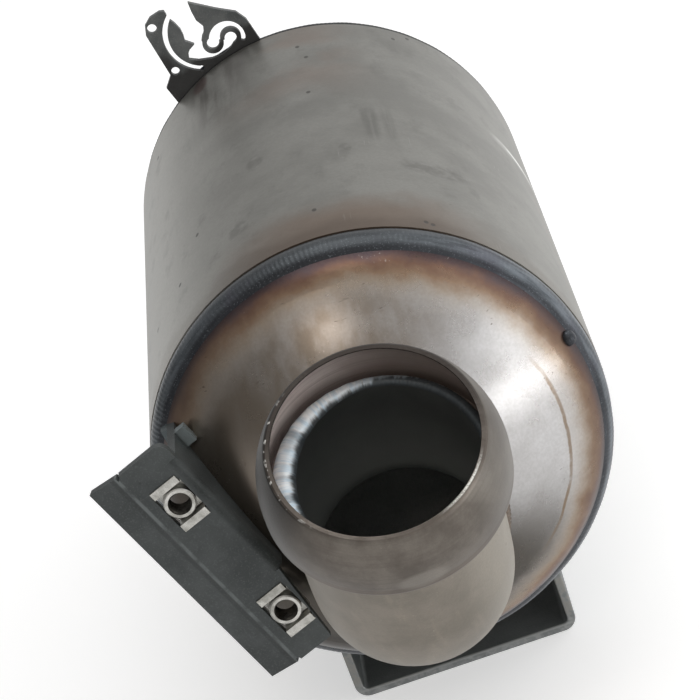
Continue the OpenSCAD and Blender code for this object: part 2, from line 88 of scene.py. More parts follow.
# Directions of the inlet elbow: out of the can, towards the bend's middle, and to its side
OUT = np.array([0, -1, 0])
UP = np.array([math.sin(ELBOW_TURN), 0, math.cos(ELBOW_TURN)])
SIDE = np.array([math.cos(ELBOW_TURN), 0, -math.sin(ELBOW_TURN)])
BEND_FROM = np.array([0, BEND_Y, PIPE_Z])
MOUTH = math.cos(BEND_ANGLE) * OUT + math.sin(BEND_ANGLE) * UP
HEEL = math.sin(BEND_ANGLE) * OUT - math.cos(BEND_ANGLE) * UP
COLLAR_FOOT = BEND_FROM + BEND_R * UP + BEND_R * HEEL + BEND_TAIL * MOUTH

# Camera, fitted to the can's rings
CAMERA_AT = (0.05869, -0.95066, 0.51424)
CAMERA_RIGHT = (0.94457, -0.07460, -0.31972)
CAMERA_UP = (0.32258, 0.39202, 0.86155)
CAMERA_BACK = (0.06106, -0.91693, 0.39435)
CAMERA_LENS = 149.3

# Share of the soft masks that is full, and shape of the weld beads
BAND_CORE = 0.35
PATCH_CORE = 0.3
LAP_SHARE = 0.62
FOOT_DEPTH = 0.3
BEAD_SHARP = 60


# Node trees

def tone(red, green, blue):
    """Colour that shows on screen with these three values from 0 to 255."""
    parts = [c / 255 for c in (red, green, blue)]
    return (*[c / 12.92 if c < 0.04045 else ((c + 0.055) / 1.055) ** 2.4 for c in parts], 1)


class Tree:
    """Node tree of a material, a node group or the world, and the nodes that are put into it."""

    def __init__(self, tree):
        self.tree = tree
        self.nodes = tree.nodes
        self.links = tree.links

    def place(self, kind, inputs=None, **settings):
        """New shader node with its settings, and with values or links for its inputs."""
        node = self.nodes.new("ShaderNode" + kind)
        for name, value in settings.items():
            setattr(node, name, value)
        for socket, value in (inputs or {}).items():
            if isinstance(value, bpy.types.NodeSocket):
                self.links.new(value, node.inputs[socket])
            else:
                node.inputs[socket].default_value = value
        return node

    def calc(self, operation, *values):
        return self.place("Math", dict(enumerate(values)), operation=operation).outputs[0]

    def times(self, *values):
        """Product of several values."""
        result = values[0]
        for value in values[1:]:
            result = self.calc("MULTIPLY", result, value)
        return result

    def linear(self, value, slope, start):
        """Start plus slope times the value."""
        return self.calc("MULTIPLY_ADD", value, slope, start)

    def blend(self, amount, under, over):
        return self.place("Mix", {0: amount, 6: under, 7: over}, data_type="RGBA").outputs[2]

    def rise(self, value, low, high, start=0, end=1):
        """Soft step from start to end while the value goes from low to high."""
        values = {"Value": value, "From Min": low, "From Max": high, "To Min": start, "To Max": end}
        return self.place("MapRange", values, interpolation_type="SMOOTHSTEP").outputs[0]

    def band(self, value, middle, half):
        """Soft mask that is one near the middle and zero beyond half its width."""
        off = self.calc("ABSOLUTE", self.calc("SUBTRACT", value, middle))
        return self.rise(off, half, half * BAND_CORE)

    def block(self, value, low, high, soft):
        """Mask that is one from low to high, with soft ends."""
        return self.times(self.rise(value, low - soft, low + soft), self.rise(value, high + soft, high - soft))

    def turned_from(self, turn, middle):
        """Degrees between a turn and a middle, either way round."""
        return self.calc("PINGPONG", self.calc("SUBTRACT", turn, middle), 180)

    def patch(self, across, along, middle, half):
        """Soft oval mask round a middle, given by two values with their own half widths."""
        squares = []
        for value, centre, width in zip((across, along), middle, half):
            off = self.calc("DIVIDE", self.calc("SUBTRACT", value, centre), width)
            squares.append(self.times(off, off))
        return self.rise(self.calc("ADD", *squares), 1, PATCH_CORE)

    def in_part(self):
        """Coordinates in the part's own frame, in metres."""
        return self.place("TexCoord").outputs["Object"]

    def cloud(self, vector, size, detail=4, roughness=0.55):
        """Cloudy noise whose patches measure about this many metres."""
        values = {"Vector": vector, "Scale": 1 / size, "Detail": detail, "Roughness": roughness}
        return self.place("TexNoise", values).outputs[0]

    def noise(self, size, detail=4, roughness=0.55):
        """Cloudy noise in the part's own frame."""
        return self.cloud(self.in_part(), size, detail, roughness)

    def stretched(self, stretch, vector=None):
        """Coordinates times a stretch for each axis, in the part's own frame unless others are given."""
        vector = self.in_part() if vector is None else vector
        return self.place("VectorMath", {0: vector, 1: stretch}, operation="MULTIPLY").outputs[0]

    def ramp(self, value, stops):
        node = self.place("ValToRGB", {0: value})
        stop_list = node.color_ramp.elements
        while len(stop_list) < len(stops):
            stop_list.new(0.5)
        for stop, (at, colour) in zip(stop_list, stops):
            stop.position = at
            stop.color = colour
        return node.outputs[0]

    def use(self, group, **inputs):
        """Places a node group and returns its outputs."""
        values = {name.title(): value for name, value in inputs.items()}
        return self.place("Group", values, node_tree=group.tree).outputs


def new_group(name, inputs, outputs):
    """Empty node group with named inputs and outputs."""
    group = bpy.data.node_groups.new(name, "ShaderNodeTree")
    for label, value in inputs.items():
        socket = group.interface.new_socket(label, in_out="INPUT", socket_type="NodeSocketFloat")
        socket.default_value = value
    for label, kind in outputs.items():
        group.interface.new_socket(label, in_out="OUTPUT", socket_type="NodeSocket" + kind)
    return Tree(group), group.nodes.new("NodeGroupInput"), group.nodes.new("NodeGroupOutput")


# Shared effects

def can_place_group():
    """Where a point lies on the can: millimetres from its axis and behind its front edge, and turn from +X up."""
    tree, _, leave = new_group("can_place", {}, {"Radius": "Float", "Turn": "Float", "Behind": "Float"})
    split = tree.place("SeparateXYZ", {0: tree.in_part()})
    x = tree.times(split.outputs[0], 1 / MM)
    z = tree.linear(split.outputs[2], 1 / MM, -AXIS_H)
    squares = tree.calc("ADD", tree.times(x, x), tree.times(z, z))
    tree.links.new(tree.calc("SQRT", squares), leave.inputs["Radius"])
    tree.links.new(tree.calc("DEGREES", tree.calc("ARCTAN2", z, x)), leave.inputs["Turn"])
    tree.links.new(tree.linear(split.outputs[1], 1 / MM, -RING_Y), leave.inputs["Behind"])
    return tree


def collar_place_group():
    """Where a point lies on the collar: millimetres from its foot and its axis, and turn from heel to side."""
    tree, _, leave = new_group("collar_place", {}, {"Height": "Float", "Reach": "Float", "Turn": "Float"})
    foot = tuple(COLLAR_FOOT * MM)
    away = tree.place("VectorMath", {0: tree.in_part(), 1: foot}, operation="SUBTRACT").outputs[0]
    away = tree.place("VectorMath", {0: away, "Scale": 1 / MM}, operation="SCALE").outputs[0]
    height, out, across = [tree.place("VectorMath", {0: away, 1: tuple(d)}, operation="DOT_PRODUCT").outputs["Value"]
                           for d in (MOUTH, HEEL, SIDE)]
    squares = tree.calc("ADD", tree.times(out, out), tree.times(across, across))
    tree.links.new(height, leave.inputs["Height"])
    tree.links.new(tree.calc("SQRT", squares), leave.inputs["Reach"])
    tree.links.new(tree.calc("DEGREES", tree.calc("ARCTAN2", across, out)), leave.inputs["Turn"])
    return tree


def sheet_wear_group():
    """Wear of rolled sheet: cloudy patches, fine grain, small pits and fine scuffs along the can."""
    outputs = {"Patches": "Float", "Grain": "Float", "Pits": "Float", "Scuffs": "Float"}
    tree, entry, leave = new_group("sheet_wear", {"Fineness": 1}, outputs)
    at = tree.place("VectorMath", {0: tree.in_part(), "Scale": entry.outputs["Fineness"]}, operation="SCALE").outputs[0]
    tree.links.new(tree.cloud(at, 0.032, 5, 0.62), leave.inputs["Patches"])
    tree.links.new(tree.cloud(at, 0.0011, 2), leave.inputs["Grain"])
    cells = tree.place("TexVoronoi", {"Vector": at, "Scale": 62})
    spot = tree.rise(cells.outputs["Distance"], 0.075, 0.03)
    few = tree.rise(tree.place("SeparateColor", {0: cells.outputs["Color"]}).outputs[0], 0.72, 0.8)
    tree.links.new(tree.times(spot, few), leave.inputs["Pits"])
    thin = tree.cloud(tree.stretched((1, 0.045, 1), at), 0.0009, 2)
    rare = tree.cloud(at, 0.014, 2)
    scuff = tree.times(tree.rise(thin, 0.64, 0.76), tree.rise(rare, 0.55, 0.68))
    tree.links.new(scuff, leave.inputs["Scuffs"])
    return tree


def heat_tint_group():
    """Oxide colours of heated stainless sheet, from straw through brown and purple to blue-grey."""
    tree, entry, leave = new_group("heat_tint", {"Heat": 0}, {"Tint": "Color"})
    stops = [(0, tone(178, 171, 164)), (0.3, tone(164, 149, 133)), (0.55, tone(142, 116, 94)),
             (0.75, tone(116, 86, 70)), (0.9, tone(90, 69, 68)), (1, tone(72, 72, 82))]
    tree.links.new(tree.ramp(entry.outputs["Heat"], stops), leave.inputs["Tint"])
    return tree


CAN_PLACE = can_place_group()
COLLAR_PLACE = collar_place_group()
SHEET_WEAR = sheet_wear_group()
HEAT_TINT = heat_tint_group()


class Finish(Tree):
    """Material whose colour is laid on in coats, with the wear of sheet where a fineness is given."""

    def __init__(self, name, metallic, fineness=None):
        self.material = bpy.data.materials.new(name)
        self.material.use_nodes = True
        super().__init__(self.material.node_tree)
        self.shader = self.nodes["Principled BSDF"]
        self.shader.inputs["Metallic"].default_value = metallic
        if fineness is not None:
            self.wear = self.use(SHEET_WEAR, fineness=fineness)

    def paint(self, colour):
        self.colour = colour
        self.links.new(colour, self.shader.inputs["Base Color"])

    def base(self, low, high, mask=None):
        """First coat: two tones, mixed by a mask or else by the cloudy patches."""
        mask = self.rise(self.wear["Patches"], 0.35, 0.65) if mask is None else mask
        self.paint(self.blend(mask, tone(*low), tone(*high)))

    def lay(self, amount, colour):
        self.paint(self.blend(amount, self.colour, colour))

    def coat(self, amount, *rgb):
        """Further coat of one tone, given by three values from 0 to 255."""
        self.lay(amount, tone(*rgb))

    def done(self, roughness, height, depth, strength):
        """Feeds the shader's roughness and, through a bump, its normal."""
        self.links.new(roughness, self.shader.inputs["Roughness"])
        bump = self.place("Bump", {"Height": height, "Distance": depth, "Strength": strength})
        self.links.new(bump.outputs[0], self.shader.inputs["Normal"])
        return self.material


# Finishes

def can_steel():
    f = Finish("can_steel", 0.85, 1)
    at = f.use(CAN_PLACE)
    turn, behind = at["Turn"], at["Behind"]
    f.base((130, 129, 124), (148, 147, 142))
    # Painted reflection: lighter band along the can's upper left flank
    f.lay(f.block(turn, 118, 148, 18), f.blend(f.wear["Patches"], tone(166, 165, 159), tone(196, 195, 190)))
    f.coat(f.rise(f.wear["Grain"], 0.3, 0.7, 0, 0.14), 104, 101, 96)
    # Warm smoky film towards the rear, and darker smudges all over
    film = f.noise(0.045, 4)
    warm = f.times(f.block(turn, 70, 104, 12), f.block(behind, 150, 232, 26), f.rise(film, 0.4, 0.6))
    f.coat(f.times(warm, 0.4), 140, 119, 106)
    smudge = f.cloud(f.stretched((1, 0.5, 1)), 0.011, 5, 0.65)
    f.coat(f.rise(smudge, 0.52, 0.72, 0, 0.32), 102, 101, 96)
    # Brown heat band behind the front weld, widest on top and wavy at its edge
    wave = f.noise(0.019, 3)
    near = f.linear(wave, 22, f.calc("SUBTRACT", behind, 11))
    top = f.block(turn, 52, 106, 20)
    f.coat(f.times(f.rise(near, 38, 14, 0, 0.72), top), 120, 100, 84)
    f.coat(f.times(f.rise(near, 17, 3, 0, 0.7), f.rise(top, 0, 1, 0.4, 1)), 96, 82, 70)
    # Dark run stains in front of the holder, with a reddish heat spot
    streak = f.cloud(f.stretched((1, 0.1, 1)), 0.008, 4)
    holder_stain = f.times(f.block(turn, 101, 119, 5), f.block(behind, 172, 228, 26), f.rise(streak, 0.4, 0.62))
    f.coat(f.times(holder_stain, 0.6), 84, 78, 74)
    f.coat(f.times(f.patch(turn, behind, (115.3, 217), (3.5, 9)), 0.5), 104, 70, 70)
    # Faint brushed stains along the can, and soft smears
    brushed = f.cloud(f.stretched((1, 0.03, 1)), 0.0011, 2)
    for low, high, amount in ((66.3, 70.2, 0.42), (61.8, 64.6, 0.36)):
        stain = f.times(f.block(turn, low, high, 0.9), f.block(behind, 88, 121, 7),
                        f.rise(brushed, 0.3, 0.6, 0.35, 1))
        f.coat(f.times(stain, amount), 88, 87, 82)
    soft = f.rise(f.noise(0.005, 4, 0.65), 0.34, 0.6)
    for middle, half, amount in (((54, 62), (11, 7.5), 0.42), ((76.2, 79), (2, 5), 0.4),
                                 ((100.5, 92), (3, 8), 0.36), ((107.5, 39.4), (3.5, 8), 0.36)):
        stain = f.times(f.patch(turn, behind, middle, half), soft)
        f.coat(f.times(stain, amount), 84, 82, 77)
    # Painted highlight streak with a painted dark line through it, on the right flank
    broken = f.rise(f.cloud(f.stretched((1, 1, 0.3)), 0.0022, 3), 0.34, 0.52, 0.6, 1)
    flank = f.times(f.block(turn, 8, 23, 7), broken)
    bow = f.linear(wave, 5, f.calc("SUBTRACT", behind, 2.5))
    f.coat(f.times(flank, f.band(bow, 149.4, 5.2)), 236, 236, 233)
    f.coat(f.times(flank, f.band(bow, 147.2, 1.6), 0.85), 92, 89, 84)
    f.coat(f.times(f.wear["Scuffs"], 0.3), 180, 179, 174)
    # Small dark pits
    pits = f.wear["Pits"]
    for middle in ((83.4, 201.4), (81.5, 186.7), (54.7, 213.9), (49.9, 220.3), (82.8, 145), (138, 204.4),
                   (120.9, 67.9), (87, 24.5), (60.5, 6.5), (58.9, 5), (143, 45.3), (129.2, 44.3)):
        pits = f.calc("MAXIMUM", pits, f.patch(turn, behind, middle, (0.75, 1.7)))
    f.coat(f.times(pits, 0.75), 56, 53, 49)
    height = f.linear(pits, -1.5, f.wear["Grain"])
    return f.done(f.linear(f.wear["Patches"], 0.14, 0.36), height, 0.00005, 0.45)


def dome_steel():
    f = Finish("dome_steel", 0.88, 1.2)
    at = f.use(CAN_PLACE)
    wave = f.noise(0.013, 4, 0.6)
    edge = f.linear(wave, 8, -4)
    reach = f.calc("ADD", at["Radius"], edge)
    turn = at["Turn"]
    f.base((172, 170, 169), (192, 191, 191))
    # Browner top; left flank darkened as painted shade over some brown oxide; underside darkened as painted shade
    streak = f.cloud(f.stretched((1, 1, 0.12)), 0.006, 4)
    f.coat(f.times(f.rise(f.turned_from(turn, 126), 90, 46), f.rise(streak, 0.3, 0.7, 0.55, 0.95)), 130, 119, 107)
    f.coat(f.rise(f.calc("ABSOLUTE", turn), 96, 140, 0, 0.86), 108, 99, 89)
    f.coat(f.rise(f.turned_from(turn, -102), 88, 48, 0, 0.94), 70, 66, 60)
    # Heat colours towards the ring weld
    tint = f.use(HEAT_TINT, heat=f.rise(reach, 60, 75))["Tint"]
    left = f.rise(f.turned_from(turn, 180), 78, 40)
    f.lay(f.times(f.rise(reach, 57, 68, 0, 0.94), f.linear(left, -0.45, 1)), tint)
    f.coat(f.times(f.rise(reach, 62, 70, 0, 0.4), f.block(turn, -40, 40, 24)), 82, 68, 58)
    f.coat(f.rise(at["Radius"], 70.6, 73.2, 0, 0.85), 56, 45, 48)
    # Painted shade on the dome behind the side bracket
    bracket_shade = f.times(f.rise(f.turned_from(turn, -150), 52, 42), f.rise(reach, 56, 64, 0, 0.93))
    f.coat(bracket_shade, 46, 44, 41)
    # Tide line on the right
    line = f.times(f.band(f.linear(edge, 0.3, at["Radius"]), 60, 0.8),
                   f.block(turn, -44, 18, 8), f.rise(wave, 0.36, 0.6, 0.35, 1))
    f.coat(f.times(line, 0.72), 114, 88, 54)
    f.coat(f.rise(f.wear["Grain"], 0.3, 0.7, 0, 0.12), 100, 92, 84)
    # Scratches
    scratch = f.cloud(f.stretched((0.25, 1, 1)), 0.0011, 2)
    rare = f.noise(0.012, 2)
    marks = f.times(f.rise(scratch, 0.66, 0.74), f.rise(rare, 0.56, 0.64))
    f.coat(f.times(marks, 0.7), 84, 74, 66)
    f.coat(f.times(f.wear["Scuffs"], 0.3), 206, 202, 196)
    f.coat(f.times(f.wear["Pits"], 0.7), 60, 50, 44)
    height = f.linear(f.wear["Pits"], -1.2, f.wear["Grain"])
    return f.done(f.linear(f.wear["Patches"], 0.12, 0.22), height, 0.00004, 0.4)


def elbow_steel():
    f = Finish("elbow_steel", 0.8, 1.5)
    collar = f.use(COLLAR_PLACE)
    streak = f.cloud(f.stretched((1, 0.2, 0.2)), 0.005, 4)
    f.base((114, 108, 98), (132, 125, 115))
    f.coat(f.rise(streak, 0.5, 0.72, 0, 0.35), 156, 147, 133)
    # Painted light on the pipe's right side
    side = f.place("SeparateXYZ", {0: f.in_part()}).outputs[0]
    f.coat(f.rise(side, 0.012, 0.028, 0, 0.6), 156, 150, 139)
    # Painted shadow under the collar, in brown
    f.coat(f.rise(collar["Height"], -8, 0, 0, 0.75), 84, 72, 62)
    f.coat(f.rise(f.wear["Grain"], 0.3, 0.7, 0, 0.16), 98, 90, 80)
    f.coat(f.times(f.wear["Scuffs"], 0.4), 190, 184, 174)
    f.coat(f.times(f.wear["Pits"], 0.7), 62, 54, 48)
    return f.done(f.linear(f.wear["Patches"], 0.14, 0.4), f.wear["Grain"], 0.00007, 0.5)


def turned_marks(f, collar):
    """Fine marks round the collar."""
    side = f.place("SeparateXYZ", {0: f.in_part()}).outputs[0]
    around = f.place("CombineXYZ", {0: f.times(side, 25), 1: collar["Height"], 2: collar["Reach"]})
    return f.cloud(around.outputs[0], 1.1, 3)


def collar_steel():
    f = Finish("collar_steel", 0.8, 2.2)
    collar = f.use(COLLAR_PLACE)
    turn, height = collar["Turn"], collar["Height"]
    f.base((88, 82, 76), (112, 106, 99))
    f.coat(f.rise(turned_marks(f, collar), 0.45, 0.7, 0, 0.26), 78, 72, 66)
    # Painted light on the right side and a painted highlight on the front
    f.coat(f.times(f.block(turn, 46, 84, 14), f.rise(height, 4, 12, 0, 0.3)), 140, 137, 131)
    f.coat(f.times(f.patch(turn, height, (6, 8), (14, 5)), 0.45), 146, 141, 133)
    f.coat(f.times(f.rise(height, 8, 1.5, 0, 0.75), f.rise(f.wear["Patches"], 0.3, 0.6, 0.5, 1)), 86, 72, 62)
    # Painted shade on the left side
    f.coat(f.rise(f.turned_from(turn, -112), 78, 38, 0, 0.96), 32, 31, 29)
    f.coat(f.rise(f.wear["Grain"], 0.3, 0.7, 0, 0.16), 82, 75, 68)
    f.coat(f.times(f.wear["Scuffs"], 0.4), 156, 149, 141)
    return f.done(f.linear(f.wear["Patches"], 0.14, 0.36), f.wear["Grain"], 0.00006, 0.5)


def collar_inside():
    f = Finish("collar_inside", 0.2, 2)
    collar = f.use(COLLAR_PLACE)
    # Pale base that stands in for light inside the collar
    f.base((216, 200, 194), (232, 220, 214))
    f.coat(f.rise(turned_marks(f, collar), 0.45, 0.7, 0, 0.4), 128, 112, 106)
    f.coat(f.rise(collar["Height"], 13, 6, 0, 0.6), 96, 84, 79)
    # Painted shade on the inside wall away from the left
    f.coat(f.rise(f.turned_from(collar["Turn"], -95), 50, 110, 0, 0.75), 124, 110, 102)
    return f.done(f.linear(f.wear["Patches"], 0.16, 0.44), f.wear["Grain"], 0.00008, 0.5)


def rim_edge():
    """Cut edge of the collar: brown as its outside, with painted highlights on dents at the left and a painted
    highlight line at the right.
    """
    f = Finish("rim_edge", 0.85, 2.2)
    collar = f.use(COLLAR_PLACE)
    f.base((92, 85, 79), (116, 109, 102))
    f.coat(f.rise(f.calc("ABSOLUTE", collar["Turn"]), 66, 112, 0, 0.85), 54, 49, 46)
    dents = f.rise(f.noise(0.0017, 1), 0.56, 0.66)
    outer = f.rise(collar["Reach"], 31.45, 31.75)
    left = f.block(collar["Turn"], -128, -52, 12)
    right = f.times(f.block(collar["Turn"], 32, 62, 10), f.band(collar["Reach"], 31.1, 0.5),
                    f.rise(f.wear["Grain"], 0.36, 0.56, 0.3, 1))
    # Painted highlights at the outer edge
    f.coat(f.calc("MAXIMUM", f.times(dents, outer, left), right), 224, 222, 216)
    return f.done(f.linear(f.wear["Grain"], 0.2, 0.3), dents, 0.00008, 0.4)


def pipe_soot_and_light():
    f = Finish("pipe_soot_and_light", 0, 2)
    collar = f.use(COLLAR_PLACE)
    f.base((62, 65, 63), (72, 75, 73), f.rise(f.wear["Patches"], 0.35, 0.7))
    # Painted light: paler deeper inside the pipe, where little light reaches
    f.coat(f.rise(collar["Height"], 5, -70, 0, 0.9), 178, 182, 179)
    return f.done(f.linear(f.wear["Patches"], 0.12, 0.66), f.wear["Grain"], 0.0001, 0.5)


def ring_weld():
    """Smooth blue-grey ring bead with dark edges."""
    f = Finish("ring_weld", 0.75, 2)
    at = f.use(CAN_PLACE)
    along = f.cloud(f.stretched((0.4, 3, 0.4)), 0.005, 3)
    f.base((78, 83, 88), (112, 118, 124), f.rise(along, 0.35, 0.65))
    f.lay(f.block(at["Turn"], 58, 124, 22), f.blend(along, tone(58, 61, 64), tone(86, 90, 93)))
    f.coat(f.rise(f.wear["Patches"], 0.5, 0.7, 0, 0.35), 84, 80, 92)
    # Painted shade on the bead's left side
    f.coat(f.rise(f.turned_from(at["Turn"], 180), 60, 26, 0, 0.6), 54, 57, 58)
    inside = f.block(at["Behind"], -8.6, -1.3, 0.9)
    f.coat(f.linear(inside, -0.72, 0.72), 36, 36, 40)
    f.coat(f.rise(f.wear["Grain"], 0.58, 0.74, 0, 0.4), 138, 144, 150)
    f.coat(f.times(f.wear["Pits"], 0.8), 40, 40, 42)
    return f.done(f.linear(f.wear["Patches"], 0.14, 0.32), f.wear["Grain"], 0.00006, 0.5)


def weld_finish(name, low, high, bright):
    """Small weld bead with oxide colours."""
    f = Finish(name, 0.75, 2)
    speck = f.noise(0.0016, 3)
    f.base(low, high)
    f.coat(f.rise(speck, 0.6, 0.72, 0, 0.4), *bright)
    return f.done(f.linear(f.wear["Patches"], 0.16, 0.36), speck, 0.00008, 0.5)


def silver_weld():
    """Bright bead inside the collar, with fine streaks across it, dull on one side and sooted at the bore."""
    f = Finish("silver_weld", 0.4)
    collar = f.use(COLLAR_PLACE)
    around = f.place("CombineXYZ", {0: f.times(collar["Turn"], 0.5), 1: f.times(collar["Reach"], 0.12),
                                    2: f.times(collar["Height"], 0.12)}).outputs[0]
    streak = f.cloud(around, 1.3, 4, 0.6)
    lump = f.cloud(around, 7, 3)
    f.base((206, 224, 236), (248, 253, 255), f.rise(streak, 0.34, 0.62))
    f.coat(f.rise(lump, 0.5, 0.64, 0, 0.6), 104, 118, 128)
    off = f.turned_from(collar["Turn"], -112)
    f.coat(f.rise(off, 44, 96, 0, 0.85), 158, 170, 178)
    # Soot creeps up from the bore, whose middle is off the collar's
    sine = f.calc("SINE", f.calc("RADIANS", collar["Turn"]))
    longer = f.linear(sine, -2 * WELD_SHIFT, collar["Reach"])
    squared = f.linear(collar["Reach"], longer, WELD_SHIFT ** 2)
    from_bore = f.calc("SUBTRACT", f.calc("SQRT", squared), WELD_BORE_R)
    creep = f.linear(f.calc("ADD", streak, lump), -3.2, f.calc("ADD", from_bore, 3.2))
    f.coat(f.rise(creep, 1.9, 0.2, 0, 0.9), 48, 53, 55)
    return f.done(f.linear(streak, 0.24, 0.3), streak, 0.0002, 0.6)


def scaled_sheet(name, dark, light, bare):
    """Sheet with a dull heat scale, for the brackets."""
    f = Finish(name, 0.35, 1.8)
    f.base(dark, light, f.rise(f.wear["Patches"], 0.34, 0.68))
    f.coat(f.rise(f.wear["Grain"], 0.52, 0.72, 0, 0.3), *bare)
    f.coat(f.times(f.wear["Scuffs"], 0.55), *bare)
    f.coat(f.times(f.wear["Pits"], 0.6), 34, 34, 33)
    f.done(f.linear(f.wear["Patches"], 0.16, 0.42), f.wear["Grain"], 0.00012, 0.7)
    return f


def across_can(f, direction):
    """Millimetres from the can's axis along a direction across it."""
    away = f.place("VectorMath", {0: f.in_part(), 1: (0, 0, AXIS_H * MM)}, operation="SUBTRACT").outputs[0]
    far = f.place("VectorMath", {0: away, 1: direction}, operation="DOT_PRODUCT").outputs["Value"]
    return f.times(far, 1 / MM)


def side_sheet():
    """Slate sheet with painted highlights along its fold and inner edge, and painted shade just past the fold."""
    f = scaled_sheet("slate_sheet", (56, 60, 60), (76, 80, 80), (104, 109, 108))
    out = across_can(f, (-math.sin(SIDE_TURN), 0, -math.cos(SIDE_TURN)))
    # Painted highlight along the fold
    rub = f.rise(f.noise(0.006, 4), 0.36, 0.62, 0.1, 1)
    f.coat(f.times(f.band(out, SIDE_FOLD, 0.9), rub, 0.5), 128, 134, 134)
    # Painted highlight along the inner edge
    f.coat(f.rise(out, SIDE_INNER + 0.2, SIDE_INNER - 1, 0, 0.8), 124, 133, 134)
    # Painted shade just past the fold
    f.coat(f.times(f.band(out, SIDE_FOLD + 1.5, 1.2), 0.4), 34, 36, 36)
    return f.material


def holder_sheet():
    """Slate sheet of the holder, scorched dark at its foot, with painted shade on its left leg."""
    f = scaled_sheet("holder_sheet", (84, 87, 87), (114, 116, 115), (140, 142, 140))
    along = across_can(f, (math.cos(HOLDER_TURN), 0, math.sin(HOLDER_TURN)))
    out = across_can(f, (-math.sin(HOLDER_TURN), 0, math.cos(HOLDER_TURN)))
    wave = f.linear(f.noise(0.006, 3), 6, -3)
    # Painted shade on the left leg, and weld scorch at the foot
    leg = f.times(f.rise(f.calc("ADD", along, wave), -9, -15),
                  f.rise(f.calc("ADD", out, wave), CAN_R + 20, CAN_R + 13))
    foot = f.rise(f.calc("ADD", out, wave), CAN_R + 8.5, CAN_R + 4.5)
    f.coat(f.times(f.calc("MAXIMUM", leg, foot), 0.85), 40, 38, 37)
    return f.material


def cut_edge(name, low, high):
    """Rubbed edge of a sheet bracket."""
    f = Finish(name, 0.7)
    rub = f.noise(0.0042, 4, 0.65)
    grain = f.noise(0.0008, 2)
    f.base(low, high, f.rise(rub, 0.38, 0.62))
    return f.done(f.linear(grain, 0.2, 0.3), grain, 0.00008, 0.5)


def lower_edge():
    """Cut ends and edges of the lower bracket, more rubbed on its legs than on its foot."""
    f = Finish("lower_edge", 0.6)
    rub = f.noise(0.0042, 4, 0.65)
    height = f.place("SeparateXYZ", {0: f.in_part()}).outputs[2]
    leg = f.rise(height, 0.003, 0.008)
    f.base((122, 125, 125), (148, 150, 149), f.rise(rub, 0.38, 0.62))
    f.coat(f.times(leg, f.rise(rub, 0.42, 0.56)), 140, 139, 135)
    f.coat(f.block(height, 0.0022, 0.0031, 0.0003), 150, 152, 151)
    grain = f.noise(0.0008, 2)
    return f.done(f.linear(grain, 0.2, 0.36), grain, 0.00008, 0.5)


def dull_zinc():
    f = Finish("dull_zinc", 0.85, 4)
    f.base((146, 145, 139), (210, 209, 204))
    f.coat(f.rise(f.wear["Grain"], 0.55, 0.72, 0, 0.5), 104, 98, 86)
    return f.done(f.linear(f.wear["Patches"], 0.16, 0.28), f.wear["Grain"], 0.00008, 0.6)


def inlet_ash_and_light(f):
    """Coat of pale ash on the front of the filter block, partly real ash and partly painted light on the shaded block
    face.
    """
    f.coat(f.rise(f.use(CAN_PLACE)["Behind"], 90, 50, 0, 0.9), 222, 224, 222)


def plugged_ceramic():
    """Silicon carbide with fine square channels, every second one plugged."""
    f = Finish("plugged_ceramic", 0, 2)
    pitch = 1.47 * MM
    wall = 0.2
    split = f.place("SeparateXYZ", {0: f.in_part()})
    across, upward = [f.calc("DIVIDE", f.calc("ADD", split.outputs[i], 1), pitch) for i in (0, 2)]
    cell_a, cell_b = f.calc("FRACT", across), f.calc("FRACT", upward)
    opening = f.times(f.rise(cell_a, wall, wall + 0.06), f.rise(cell_b, wall, wall + 0.06))
    count = f.calc("ADD", f.calc("FLOOR", across), f.calc("FLOOR", upward))
    plugged = f.calc("GREATER_THAN", f.calc("MODULO", count, 2), 0.5)
    body = f.blend(f.rise(f.wear["Patches"], 0.35, 0.65), tone(74, 73, 71), tone(96, 94, 91))
    # Open channels painted near black as painted shade of their depth
    hollow = f.blend(plugged, tone(16, 16, 16), tone(112, 109, 103))
    f.paint(f.blend(opening, body, hollow))
    inlet_ash_and_light(f)
    height = f.times(opening, f.linear(plugged, 0.7, -1))
    return f.done(f.linear(f.wear["Patches"], 0.1, 0.82), height, 0.0004, 0.8)


def joint_cement():
    f = Finish("joint_cement", 0, 3)
    sand = f.noise(0.0007, 3)
    f.base((120, 117, 110), (146, 143, 136))
    inlet_ash_and_light(f)
    return f.done(f.linear(sand, 0.1, 0.84), sand, 0.0003, 0.8)


def felt_mat():
    """Swelling fibre mat round the filter block."""
    f = Finish("felt_mat", 0)
    fibre = f.cloud(f.stretched((1, 0.16, 1)), 0.0007, 4)
    tangle = f.cloud(f.stretched((0.2, 1, 0.2)), 0.0008, 4)
    mixed = f.calc("ADD", fibre, tangle)
    f.base((186, 178, 158), (224, 219, 204), f.rise(mixed, 0.8, 1.2))
    return f.done(f.linear(fibre, 0.08, 0.86), mixed, 0.0005, 0.8)


def knitted_wire():
    """Pressed wire mesh: two sets of crossing wires."""
    f = Finish("knitted_wire", 0.8)
    at = f.use(CAN_PLACE)
    along = f.times(at["Behind"], 4.2)
    around = f.times(at["Turn"], 5.4)
    over = f.calc("ABSOLUTE", f.calc("SINE", f.calc("ADD", along, around)))
    under = f.calc("ABSOLUTE", f.calc("SINE", f.calc("SUBTRACT", along, around)))
    wire = f.calc("MAXIMUM", over, under)
    f.base((48, 47, 45), (168, 167, 163), f.rise(wire, 0.55, 0.98))
    return f.done(f.linear(wire, -0.25, 0.6), wire, 0.0004, 0.8)


# Pieces

